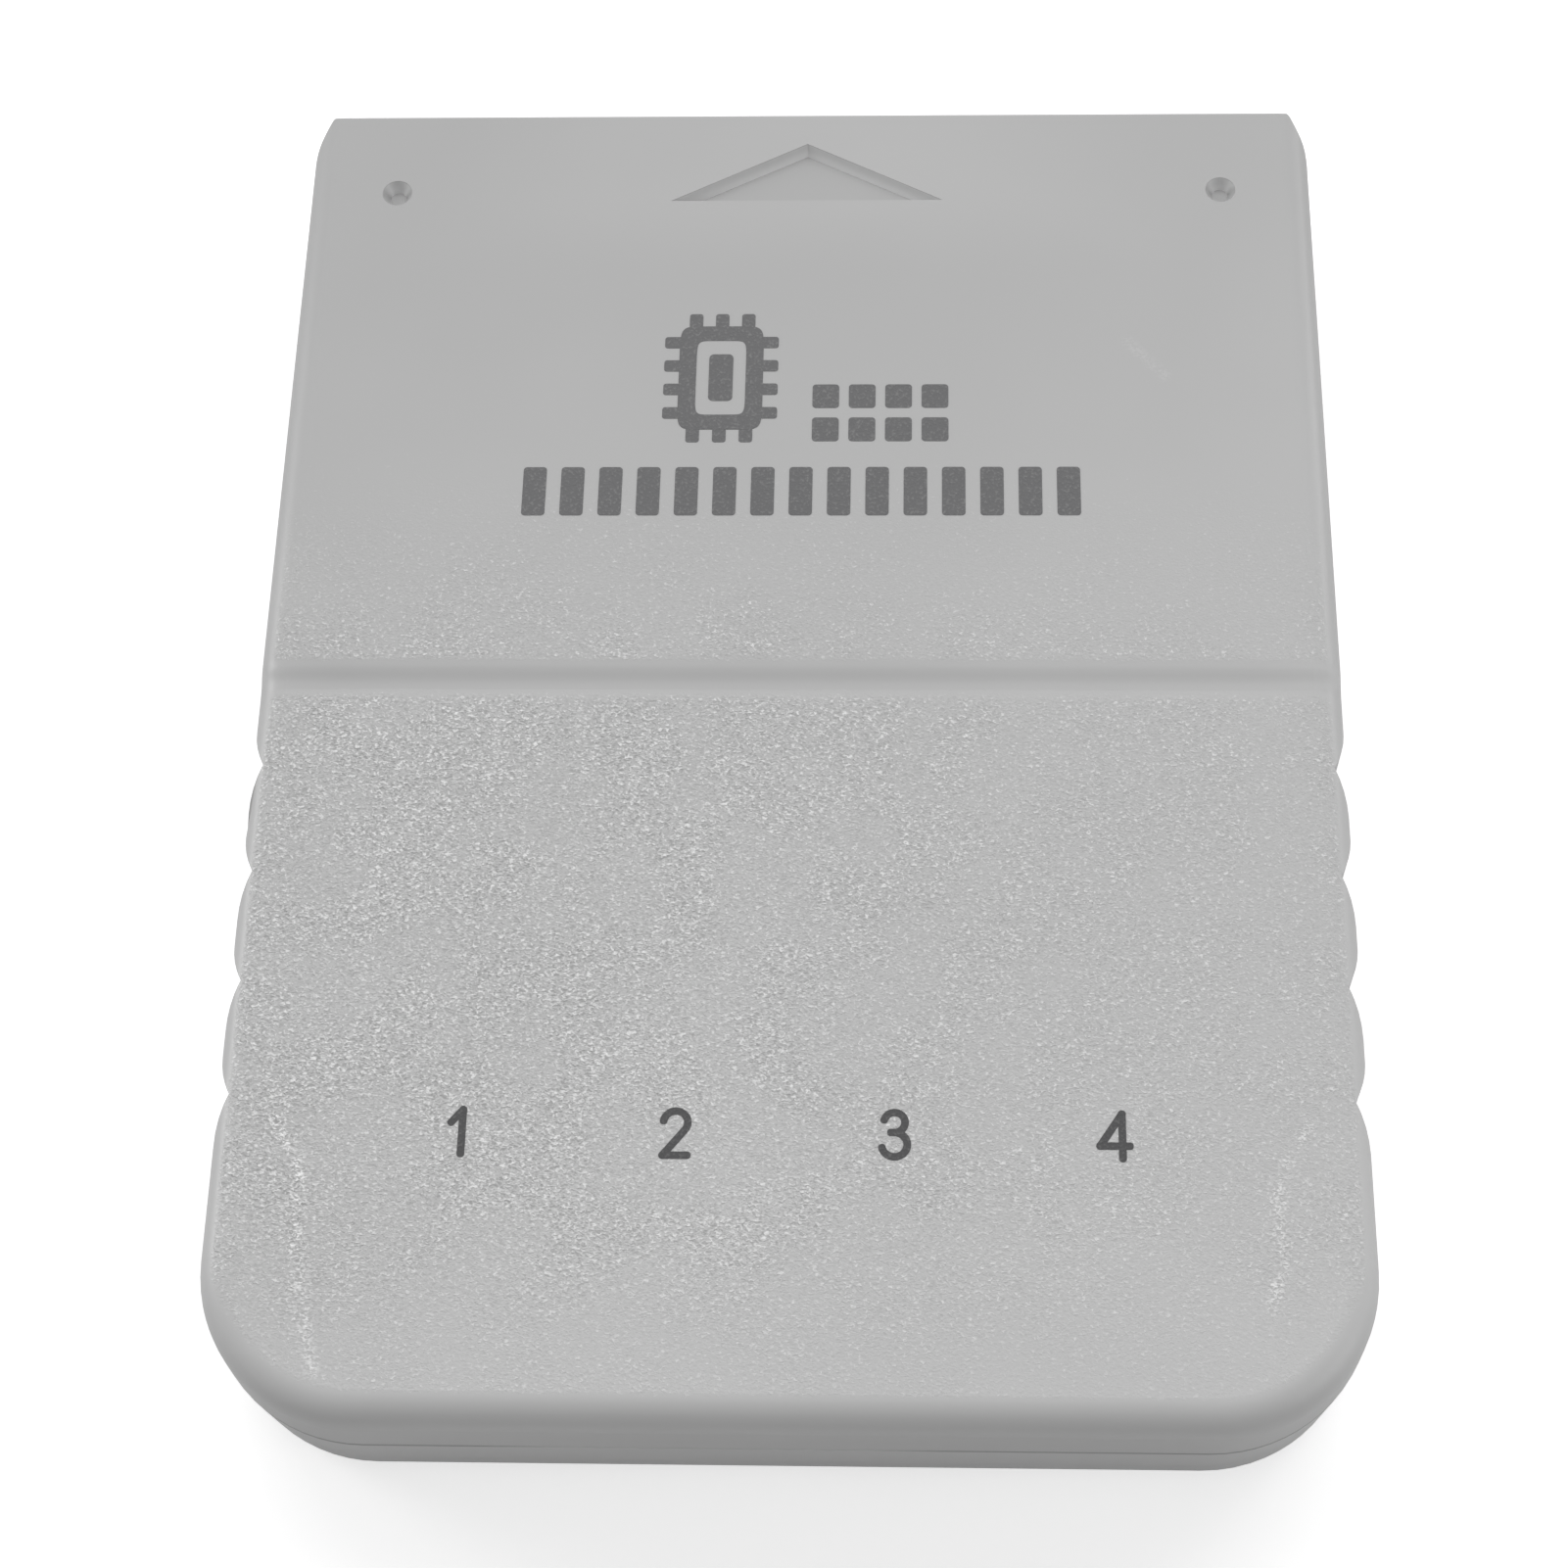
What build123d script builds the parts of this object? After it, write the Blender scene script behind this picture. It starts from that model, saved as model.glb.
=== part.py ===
from build123d import *

import os

# A console memory card, in millimetres. X runs across the card, Y from the grip end to the nose
# that goes into the console, and Z up from the flat underside, with the origin at its middle.

# Card body
CARD_W = 43.0
CARD_L = 57.8
CARD_T = 7.6
PARTING_Z = 4.3
NECK_L = 27.64
GRIP_DROP = 0.24
STEP_RUN = 1.24
EDGE_R = 1.2
GRIP_CORNER_R = 6.2
NOSE_CHAMFER_X = 0.9
NOSE_CHAMFER_Y = 1.8
NOSE_SIDE_R = 3.0
NOSE_END_R = 0.6
UNDER_DRAFT_DEG = 5.0
UNDER_R = 1.0
NOSE_LEAD = 0.8
NOSE_BREAK = 0.2
SEAM_BREAK = 0.1

# Scalloped finger grip down both sides
SCALLOP_COUNT = 4
SCALLOP_PITCH = 4.6
SCALLOP_CREST = 0.1
SCALLOP_DEPTH = 0.58
SCALLOP_FROM_GRIP_END = 12.46

# Marks sunk in the neck's top: an arrow that points to the nose, and two round pits
ARROW_HALF_W = 5.8
ARROW_BASE_FROM_NOSE = 4.67
ARROW_TIP_FROM_NOSE = 1.68
PIT_X = 17.6
PIT_FROM_NOSE = 4.2
PIT_R = 0.64
MARK_DEPTH = 0.45
MARK_DRAFT_DEG = 35.0

# Shell walls, and the lip that lines the two shells up
WALL = 1.5
FLOOR = 1.2
ROOF = 1.2
NOSE_INNER_R = 0.8
LIP_T = 0.5
LIP_H = 0.8
FIT_GAP = 0.1

# Circuit board on its seats
BOARD_T = 1.0
BOARD_LIFT = 1.2
BOARD_GAP = 0.5
BOARD_CORNER_R = 1.0
BOARD_TAIL = 3.0
SEAT_D = 3.4
PEG_D = 1.8
PEG_RISE = 0.5
PEG_FROM_EDGE = 3.1
PEG_FROM_NOSE = 13.0
TAIL_RIB_T = 1.2
HOLD_RIB_T = 1.0
HOLD_RIB_L = 6.5

# Contact comb at the nose: flat fingers under the board, in three bays
BAY_FINGER_COUNTS = (2, 3, 3)
CONTACT_PITCH = 3.4
CONTACT_W = 2.4
CONTACT_T = 0.1
CONTACT_INSET = 0.4
BAY_L = 9.5
BAY_MARGIN = 0.6
BAY_WEB_T = 1.5
BAY_FRAME = 1.2

# Page lamps behind the four numerals, each in a light well
LAMP_COUNT = 4
LAMP_PITCH = 8.08
LAMP_FROM_GRIP_END = 10.97
LAMP_WELL_W = 4.2
LAMP_BORE_W = 2.7
LAMP_SKIN = 0.6
LAMP_L = 2.0
LAMP_W = 1.25
LAMP_BASE_T = 0.4
LAMP_LENS_L = 1.2
LAMP_LENS_T = 0.4

# Case screw, driven from the underside
SCREW_FROM_GRIP_END = 19.25
SCREW_SHANK_D = 2.2
SCREW_L = 4.2
SCREW_TIP = 0.7
SCREW_HEAD_D = 4.0
SCREW_HEAD_T = 1.3
SCREW_HEAD_BEVEL = 0.45
SCREW_CROSS_L = 2.2
SCREW_CROSS_W = 0.5
SCREW_CROSS_DEPTH = 0.7
SCREW_GAP = 0.05
RECESS_GAP = 0.3
RECESS_DEPTH = 2.0
PILLAR_WALL = 1.2
PILLAR_WEB = 1.0
BOSS_WALL = 1.4
PILOT_RUN = 0.4

# Leaded chips
LEG_PITCH = 1.27
LEG_W = 0.42
LEG_T = 0.15
LEG_SHOULDER = 0.35
LEG_SLOPE = 0.25
LEG_FOOT = 0.6
CHIP_LIFT = 0.1
CHIP_T = 1.0
CHIP_EDGE = 0.15
PIN_MARK_D = 0.8
PIN_MARK_DEPTH = 0.1
CONTROLLER_L = 12.8
CONTROLLER_W = 7.5
CONTROLLER_SIDE_LEG_COUNT = 10
CONTROLLER_X = -4.5
CONTROLLER_FROM_NOSE = 18.2
MEMORY_L = 5.3
MEMORY_W = 5.3
MEMORY_SIDE_LEG_COUNT = 4
MEMORY_X = 8.2
MEMORY_FROM_NOSE = 17.2

# Two-terminal parts on the board
RESISTOR_L = 1.6
RESISTOR_W = 0.8
RESISTOR_T = 0.45
RESISTOR_FROM_LAMP = 4.2
CAPACITOR_L = 2.0
CAPACITOR_W = 1.25
CAPACITOR_T = 0.9
TERMINAL_L = 0.35
TERMINAL_T = 0.04
CAPACITOR_NEAR_CHIP = 2.2
RESONATOR_L = 5.0
RESONATOR_W = 3.2
RESONATOR_T = 1.1
RESONATOR_LID_STEP = 0.3
RESONATOR_BASE_T = 0.4
RESONATOR_FROM_NOSE = 24.6

# Cutters run this far past the faces that they open
OVERCUT = 1.0

HALF_W = CARD_W / 2
NOSE_END = CARD_L / 2
GRIP_END = -CARD_L / 2
GRIP_TOP = CARD_T - GRIP_DROP
STEP_Y = NOSE_END - NECK_L
CAVITY_X = HALF_W - SCALLOP_DEPTH - WALL
CAVITY_NOSE = NOSE_END - WALL
CAVITY_GRIP = GRIP_END + WALL
BOARD_BOTTOM = FLOOR + BOARD_LIFT
BOARD_TOP = BOARD_BOTTOM + BOARD_T
BOARD_X = CAVITY_X - BOARD_GAP
BOARD_NOSE = CAVITY_NOSE - BOARD_GAP
PEG_X = BOARD_X - PEG_FROM_EDGE
PEG_Y = NOSE_END - PEG_FROM_NOSE
LAMP_Y = GRIP_END + LAMP_FROM_GRIP_END
BOARD_GRIP = LAMP_Y - BOARD_TAIL
SCREW_Y = GRIP_END + SCREW_FROM_GRIP_END
RECESS_D = SCREW_HEAD_D + 2 * RECESS_GAP
PILLAR_D = RECESS_D + 2 * PILLAR_WALL
PILLAR_TOP = RECESS_DEPTH + PILLAR_WEB
PILOT_D = SCREW_SHANK_D + 2 * SCREW_GAP
BOSS_D = PILOT_D + 2 * BOSS_WALL
CONTROLLER_Y = NOSE_END - CONTROLLER_FROM_NOSE
MEMORY_Y = NOSE_END - MEMORY_FROM_NOSE
RESONATOR_Y = NOSE_END - RESONATOR_FROM_NOSE


def bay_width(fingers):
    """Width of a bay that holds this many contact fingers."""
    return (fingers - 1) * CONTACT_PITCH + CONTACT_W + 2 * BAY_MARGIN


COMB_W = sum(bay_width(fingers) for fingers in BAY_FINGER_COUNTS) + BAY_WEB_T * (len(BAY_FINGER_COUNTS) - 1)
BAY_STARTS = [
    -COMB_W / 2 + sum(bay_width(fingers) + BAY_WEB_T for fingers in BAY_FINGER_COUNTS[:index])
    for index in range(len(BAY_FINGER_COUNTS))
]
CONTACT_XS = [
    start + BAY_MARGIN + CONTACT_W / 2 + finger * CONTACT_PITCH
    for start, fingers in zip(BAY_STARTS, BAY_FINGER_COUNTS)
    for finger in range(fingers)
]
DIVIDER_XS = [start - BAY_WEB_T / 2 for start in BAY_STARTS[1:]]
LAMP_XS = [(index - (LAMP_COUNT - 1) / 2) * LAMP_PITCH for index in range(LAMP_COUNT)]


def card_outline():
    """Plan of the card: a nose with eased corners, straight sides and a round-cornered grip."""
    right = [
        (HALF_W - NOSE_CHAMFER_X, NOSE_END),
        (HALF_W, NOSE_END - NOSE_CHAMFER_Y),
        (HALF_W, GRIP_END),
    ]
    left = [(-x, y) for x, y in reversed(right)]
    with BuildSketch() as plan:
        Polygon(*right, *left, align=None)
        fillet(plan.vertices().group_by(Axis.Y)[1], NOSE_SIDE_R)
        fillet(plan.vertices().group_by(Axis.Y)[-1], NOSE_END_R)
        fillet(plan.vertices().group_by(Axis.Y)[0], GRIP_CORNER_R)
    return plan.sketch


def long_outline():
    """Plan that runs on past the nose: straight sides and a round-cornered grip."""
    with BuildSketch() as plan:
        with Locations((0, GRIP_END)):
            RectangleRounded(
                CARD_W,
                CARD_L + 2 * GRIP_CORNER_R,
                GRIP_CORNER_R,
                align=(Align.CENTER, Align.MIN),
            )
    return plan.sketch


def cavity_outline(grow=0.0):
    """Plan of the hollow inside the walls, grown outwards for the lip and for its groove."""
    with BuildSketch() as plan:
        with Locations((0, (CAVITY_NOSE + CAVITY_GRIP) / 2)):
            Rectangle(2 * (CAVITY_X + grow), CAVITY_NOSE - CAVITY_GRIP + 2 * grow)
        fillet(plan.vertices().group_by(Axis.Y)[0], GRIP_CORNER_R - WALL + grow)
        fillet(plan.vertices().group_by(Axis.Y)[-1], NOSE_INNER_R + grow)
    return plan.sketch


def scallop_grooves():
    """Finger grooves down both sides: sharp valleys between round bumps."""
    flank = (SCALLOP_PITCH - SCALLOP_CREST) / 2
    with BuildPart() as grooves:
        with BuildSketch():
            for index in range(SCALLOP_COUNT):
                valley = (HALF_W - SCALLOP_DEPTH, GRIP_END + SCALLOP_FROM_GRIP_END + index * SCALLOP_PITCH)
                with BuildLine():
                    upper = TangentArc((HALF_W, valley[1] + flank), valley, tangent=(0, -1))
                    lower = TangentArc((HALF_W, valley[1] - flank), valley, tangent=(0, 1))
                    Polyline(
                        upper @ 0,
                        (HALF_W + OVERCUT, valley[1] + flank),
                        (HALF_W + OVERCUT, valley[1] - flank),
                        lower @ 0,
                    )
                make_face()
            mirror(about=Plane.YZ)
        extrude(amount=CARD_T)
    return grooves.part


def is_step_line(edge):
    """True for the lines across the card where the step's curves meet."""
    middle = edge.center()
    return abs(middle.X) < FIT_GAP and abs(middle.Y - STEP_Y) < STEP_RUN


def top_shell():
    """Upper half of the case: grip, step and neck, with light wells, a screw boss and hold-down ribs."""
    neck_ceiling = CARD_T - ROOF
    grip_ceiling = GRIP_TOP - ROOF
    with BuildPart() as shell:
        # An overlong block. Two arcs make one smooth step down to the grip.
        with BuildSketch(Plane.XY.offset(PARTING_Z)):
            add(long_outline())
        extrude(amount=CARD_T - PARTING_Z)
        with BuildSketch(Plane.YZ):
            with BuildLine():
                crest = TangentArc(
                    (STEP_Y + STEP_RUN / 2, CARD_T),
                    (STEP_Y, CARD_T - GRIP_DROP / 2),
                    tangent=(-1, 0),
                )
                foot = TangentArc(crest @ 1, (STEP_Y - STEP_RUN / 2, GRIP_TOP), tangent=crest % 1)
                Polyline(
                    foot @ 1,
                    (GRIP_END - OVERCUT, GRIP_TOP),
                    (GRIP_END - OVERCUT, CARD_T + OVERCUT),
                    (STEP_Y + STEP_RUN / 2, CARD_T + OVERCUT),
                    crest @ 0,
                )
            make_face()
        extrude(amount=CARD_W, both=True, mode=Mode.SUBTRACT)
        # Its upper edge is rounded before the nose is cut to the card's plan, which leaves that edge crisp.
        rim = shell.edges().filter_by_position(Axis.Z, GRIP_TOP - FIT_GAP, CARD_T + FIT_GAP)
        fillet([edge for edge in rim if not is_step_line(edge)], EDGE_R)
        with BuildSketch(Plane.XY.offset(PARTING_Z)):
            add(card_outline())
        extrude(amount=CARD_T - PARTING_Z, mode=Mode.INTERSECT)
        with BuildSketch(Plane.YZ):
            Polygon(
                (NOSE_END - NOSE_BREAK - OVERCUT, CARD_T + OVERCUT),
                (NOSE_END + OVERCUT, CARD_T - NOSE_BREAK - OVERCUT),
                (NOSE_END + OVERCUT, CARD_T + OVERCUT),
                align=None,
            )
        extrude(amount=CARD_W, both=True, mode=Mode.SUBTRACT)
        chamfer(shell.faces().sort_by(Axis.Z)[0].edges(), SEAM_BREAK)
        add(scallop_grooves(), mode=Mode.SUBTRACT)
        # Hollow: a low ceiling in the grip, a higher one in the neck, and a groove for the lip.
        with BuildSketch(Plane.XY.offset(PARTING_Z)):
            add(cavity_outline())
        extrude(amount=grip_ceiling - PARTING_Z, mode=Mode.SUBTRACT)
        with BuildSketch(Plane.XY.offset(PARTING_Z)):
            add(cavity_outline())
            with Locations((0, STEP_Y + STEP_RUN / 2)):
                Rectangle(CARD_W, CARD_L, align=(Align.CENTER, Align.MAX), mode=Mode.SUBTRACT)
        extrude(amount=neck_ceiling - PARTING_Z, mode=Mode.SUBTRACT)
        with BuildSketch(Plane.XY.offset(PARTING_Z)):
            add(cavity_outline(LIP_T + FIT_GAP))
        extrude(amount=LIP_H + FIT_GAP, mode=Mode.SUBTRACT)
        # Light wells stand on the board and end in a thin skin under each numeral.
        with BuildSketch(Plane.XY.offset(BOARD_TOP)):
            with Locations(*[(x, LAMP_Y) for x in LAMP_XS]):
                Rectangle(LAMP_WELL_W, LAMP_WELL_W)
        extrude(amount=grip_ceiling - BOARD_TOP)
        with BuildSketch(Plane.XY.offset(BOARD_TOP)):
            with Locations(*[(x, LAMP_Y) for x in LAMP_XS]):
                Rectangle(LAMP_BORE_W, LAMP_BORE_W)
        extrude(amount=GRIP_TOP - LAMP_SKIN - BOARD_TOP, mode=Mode.SUBTRACT)
        # Screw boss
        with BuildSketch(Plane.XY.offset(PILLAR_TOP)):
            with Locations((0, SCREW_Y)):
                Circle(BOSS_D / 2)
        extrude(amount=grip_ceiling - PILLAR_TOP)
        with BuildSketch(Plane.XY.offset(PILLAR_TOP)):
            with Locations((0, SCREW_Y)):
                Circle(PILOT_D / 2)
        extrude(amount=RECESS_DEPTH + SCREW_L + PILOT_RUN - PILLAR_TOP, mode=Mode.SUBTRACT)
        # Ribs press the board down on the comb's dividers.
        with BuildSketch(Plane.XY.offset(BOARD_TOP)):
            with Locations(*[(x, BOARD_NOSE) for x in DIVIDER_XS]):
                Rectangle(HOLD_RIB_T, HOLD_RIB_L, align=(Align.CENTER, Align.MAX))
        extrude(amount=neck_ceiling - BOARD_TOP)
        # Arrow and round pits in the neck's top
        with BuildSketch(Plane.XY.offset(CARD_T)):
            Polygon(
                (-ARROW_HALF_W, NOSE_END - ARROW_BASE_FROM_NOSE),
                (ARROW_HALF_W, NOSE_END - ARROW_BASE_FROM_NOSE),
                (0, NOSE_END - ARROW_TIP_FROM_NOSE),
                align=None,
            )
            with Locations(*[(side * PIT_X, NOSE_END - PIT_FROM_NOSE) for side in (-1, 1)]):
                Circle(PIT_R)
        extrude(amount=-MARK_DEPTH, taper=MARK_DRAFT_DEG, mode=Mode.SUBTRACT)
    return shell.part


def bottom_shell():
    """Lower half of the case: drafted walls, a round lower edge, the contact comb and the screw pillar."""
    with BuildPart() as shell:
        # A drafted, overlong block with its lower edge rounded, cut to the card's plan at the nose.
        with BuildSketch(Plane.XY.offset(PARTING_Z)):
            add(long_outline())
        extrude(amount=PARTING_Z, dir=(0, 0, -1), taper=UNDER_DRAFT_DEG)
        fillet(shell.faces().sort_by(Axis.Z)[0].edges(), UNDER_R)
        chamfer(shell.faces().sort_by(Axis.Z)[-1].edges(), SEAM_BREAK)
        with BuildSketch():
            add(card_outline())
        extrude(amount=PARTING_Z, mode=Mode.INTERSECT)
        with BuildSketch(Plane.YZ):
            Polygon(
                (NOSE_END - NOSE_LEAD - OVERCUT, -OVERCUT),
                (NOSE_END + OVERCUT, -OVERCUT),
                (NOSE_END + OVERCUT, NOSE_LEAD + OVERCUT),
                align=None,
            )
        extrude(amount=CARD_W, both=True, mode=Mode.SUBTRACT)
        add(scallop_grooves(), mode=Mode.SUBTRACT)
        with BuildSketch(Plane.XY.offset(FLOOR)):
            add(cavity_outline())
        extrude(amount=PARTING_Z - FLOOR, mode=Mode.SUBTRACT)
        with BuildSketch(Plane.XY.offset(PARTING_Z)):
            add(cavity_outline(LIP_T))
            add(cavity_outline(), mode=Mode.SUBTRACT)
        extrude(amount=LIP_H)
        # The comb: a raised block under the board's nose, opened into bays to the end and the underside.
        comb_back = NOSE_END - BAY_L - BAY_FRAME
        with BuildSketch(Plane.XY.offset(FLOOR)):
            with Locations((0, comb_back)):
                Rectangle(COMB_W + 2 * BAY_FRAME, CAVITY_NOSE - comb_back, align=(Align.CENTER, Align.MIN))
        extrude(amount=BOARD_LIFT)
        with BuildSketch():
            for start, fingers in zip(BAY_STARTS, BAY_FINGER_COUNTS):
                with Locations((start, NOSE_END - BAY_L)):
                    Rectangle(bay_width(fingers), BAY_L + OVERCUT, align=(Align.MIN, Align.MIN))
        extrude(amount=BOARD_BOTTOM, mode=Mode.SUBTRACT)
        # Board seats: two posts with pegs in the neck, and a rib under the row of lamps.
        with BuildSketch(Plane.XY.offset(FLOOR)):
            with Locations((-PEG_X, PEG_Y), (PEG_X, PEG_Y)):
                Circle(SEAT_D / 2)
            with Locations((0, LAMP_Y)):
                Rectangle(LAMP_XS[-1] - LAMP_XS[0] + LAMP_WELL_W, TAIL_RIB_T)
        extrude(amount=BOARD_LIFT)
        with BuildSketch(Plane.XY.offset(BOARD_BOTTOM)):
            with Locations((-PEG_X, PEG_Y), (PEG_X, PEG_Y)):
                Circle(PEG_D / 2)
        extrude(amount=BOARD_T + PEG_RISE)
        # Screw pillar with a recess for the head
        with BuildSketch(Plane.XY.offset(FLOOR)):
            with Locations((0, SCREW_Y)):
                Circle(PILLAR_D / 2)
        extrude(amount=PILLAR_TOP - FLOOR)
        with BuildSketch():
            with Locations((0, SCREW_Y)):
                Circle(RECESS_D / 2)
        extrude(amount=RECESS_DEPTH, mode=Mode.SUBTRACT)
        with BuildSketch(Plane.XY.offset(RECESS_DEPTH)):
            with Locations((0, SCREW_Y)):
                Circle(PILOT_D / 2)
        extrude(amount=PILLAR_WEB, mode=Mode.SUBTRACT)
    return shell.part


def circuit_board():
    """Glass-fibre board with holes for the pegs and for the screw pillar."""
    with BuildPart() as board:
        with BuildSketch(Plane.XY.offset(BOARD_BOTTOM)) as plan:
            with Locations((0, BOARD_GRIP)):
                Rectangle(2 * BOARD_X, BOARD_NOSE - BOARD_GRIP, align=(Align.CENTER, Align.MIN))
            fillet(plan.vertices(), BOARD_CORNER_R)
            with Locations((-PEG_X, PEG_Y), (PEG_X, PEG_Y)):
                Circle(PEG_D / 2 + FIT_GAP, mode=Mode.SUBTRACT)
            with Locations((0, SCREW_Y)):
                Circle(PILLAR_D / 2 + BOARD_GAP, mode=Mode.SUBTRACT)
        extrude(amount=BOARD_T)
    return board.part


def contact_finger(x):
    """One gold-plated finger on the underside of the board's nose."""
    back = NOSE_END - BAY_L + CONTACT_INSET
    with BuildPart() as finger:
        with BuildSketch(Plane.XY.offset(BOARD_BOTTOM)):
            with Locations((x, back)):
                Rectangle(CONTACT_W, BOARD_NOSE - CONTACT_INSET - back, align=(Align.CENTER, Align.MIN))
        extrude(amount=-CONTACT_T)
    return finger.part


def leaded_chip(x, y, length, width, legs):
    """Moulded chip along X with a row of gull-wing legs down each long side, standing on the board."""
    middle_z = CHIP_LIFT + CHIP_T / 2
    side = width / 2
    bend = side + LEG_SHOULDER
    heel = bend + LEG_SLOPE
    with BuildPart() as chip:
        with Locations((0, 0, CHIP_LIFT)):
            Box(length, width, CHIP_T, align=(Align.CENTER, Align.CENTER, Align.MIN))
        chamfer(chip.faces().sort_by(Axis.Z)[-1].edges(), CHIP_EDGE)
        with Locations((-length / 2 + PIN_MARK_D, -side + PIN_MARK_D, CHIP_LIFT + CHIP_T)):
            Cylinder(PIN_MARK_D / 2, 2 * PIN_MARK_DEPTH, mode=Mode.SUBTRACT)
        with BuildSketch(Plane.YZ) as leg:
            Polygon(
                (side, middle_z + LEG_T / 2),
                (bend, middle_z + LEG_T / 2),
                (heel, LEG_T),
                (heel + LEG_FOOT, LEG_T),
                (heel + LEG_FOOT, 0),
                (heel - LEG_T, 0),
                (bend - LEG_T, middle_z - LEG_T / 2),
                (side, middle_z - LEG_T / 2),
                align=None,
            )
            mirror(about=Plane.YZ)
        for index in range(legs):
            leg_x = (index - (legs - 1) / 2) * LEG_PITCH
            extrude(leg.sketch.moved(Location((leg_x, 0, 0))), amount=LEG_W / 2, both=True)
    return chip.part.moved(Location((x, y, BOARD_TOP)))


def two_terminal_part(x, y, length, width, height):
    """Chip resistor or capacitor along Y: a ceramic body with a wrapped metal terminal at each end."""
    with BuildPart() as part:
        with Locations((0, 0, TERMINAL_T)):
            Box(width, length, height, align=(Align.CENTER, Align.CENTER, Align.MIN))
        with Locations(*[(0, side * (length - TERMINAL_L) / 2, 0) for side in (-1, 1)]):
            Box(
                width + 2 * TERMINAL_T,
                TERMINAL_L,
                height + 2 * TERMINAL_T,
                align=(Align.CENTER, Align.CENTER, Align.MIN),
            )
    return part.part.moved(Location((x, y, BOARD_TOP)))


def page_lamp(x):
    """Surface-mount lamp: a flat carrier with a clear lens block, inside its light well."""
    with BuildPart() as lamp:
        Box(LAMP_W, LAMP_L, LAMP_BASE_T, align=(Align.CENTER, Align.CENTER, Align.MIN))
        with Locations((0, 0, LAMP_BASE_T)):
            Box(LAMP_W, LAMP_LENS_L, LAMP_LENS_T, align=(Align.CENTER, Align.CENTER, Align.MIN))
    return lamp.part.moved(Location((x, LAMP_Y, BOARD_TOP)))


def resonator():
    """Clock resonator: a ceramic tray with a smaller metal lid."""
    with BuildPart() as can:
        Box(RESONATOR_L, RESONATOR_W, RESONATOR_BASE_T, align=(Align.CENTER, Align.CENTER, Align.MIN))
        with Locations((0, 0, RESONATOR_BASE_T)):
            Box(
                RESONATOR_L - 2 * RESONATOR_LID_STEP,
                RESONATOR_W - 2 * RESONATOR_LID_STEP,
                RESONATOR_T - RESONATOR_BASE_T,
                align=(Align.CENTER, Align.CENTER, Align.MIN),
            )
    return can.part.moved(Location((MEMORY_X, RESONATOR_Y, BOARD_TOP)))


def case_screw():
    """Self-tapping screw, head down in the recess, with a cross slot and a pointed end."""
    head_r = SCREW_HEAD_D / 2
    shank_r = SCREW_SHANK_D / 2
    with BuildPart() as screw:
        with BuildSketch(Plane.XZ) as profile:
            Polygon(
                (0, -SCREW_HEAD_T),
                (head_r, -SCREW_HEAD_T),
                (head_r, 0),
                (shank_r, 0),
                (shank_r, SCREW_L - SCREW_TIP),
                (shank_r / 2, SCREW_L),
                (0, SCREW_L),
                align=None,
            )
            chamfer(profile.vertices().group_by(Axis.Y)[0].sort_by(Axis.X)[-1], SCREW_HEAD_BEVEL)
        revolve(axis=Axis.Z)
        with BuildSketch(Plane.XY.offset(-SCREW_HEAD_T)):
            Rectangle(SCREW_CROSS_L, SCREW_CROSS_W)
            Rectangle(SCREW_CROSS_W, SCREW_CROSS_L)
        extrude(amount=SCREW_CROSS_DEPTH, mode=Mode.SUBTRACT)
    return screw.part.moved(Location((0, SCREW_Y, RECESS_DEPTH)))


# Decoupling capacitors stand beside the chips that they serve.
CAPACITOR_SPOTS = [
    (CONTROLLER_X - CONTROLLER_L / 2 - CAPACITOR_NEAR_CHIP, CONTROLLER_Y),
    (CONTROLLER_X + CONTROLLER_L / 2 + CAPACITOR_NEAR_CHIP, CONTROLLER_Y),
    (MEMORY_X + MEMORY_L / 2 + CAPACITOR_NEAR_CHIP, MEMORY_Y),
]

nodes = {
    "top_shell": top_shell(),
    "bottom_shell": bottom_shell(),
    "circuit_board": circuit_board(),
    "controller_chip": leaded_chip(
        CONTROLLER_X, CONTROLLER_Y, CONTROLLER_L, CONTROLLER_W, CONTROLLER_SIDE_LEG_COUNT
    ),
    "memory_chip": leaded_chip(MEMORY_X, MEMORY_Y, MEMORY_L, MEMORY_W, MEMORY_SIDE_LEG_COUNT),
    "resonator": resonator(),
    "case_screw": case_screw(),
}
for number, x in enumerate(CONTACT_XS, 1):
    nodes[f"contact_finger_{number}"] = contact_finger(x)
for number, x in enumerate(LAMP_XS, 1):
    nodes[f"page_lamp_{number}"] = page_lamp(x)
    nodes[f"lamp_resistor_{number}"] = two_terminal_part(
        x, LAMP_Y + RESISTOR_FROM_LAMP, RESISTOR_L, RESISTOR_W, RESISTOR_T
    )
for number, (x, y) in enumerate(CAPACITOR_SPOTS, 1):
    nodes[f"capacitor_{number}"] = two_terminal_part(x, y, CAPACITOR_L, CAPACITOR_W, CAPACITOR_T)

os.makedirs("parts", exist_ok=True)
for name, solid in nodes.items():
    export_step(solid, f"parts/{name}.step")
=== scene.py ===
import math

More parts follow.
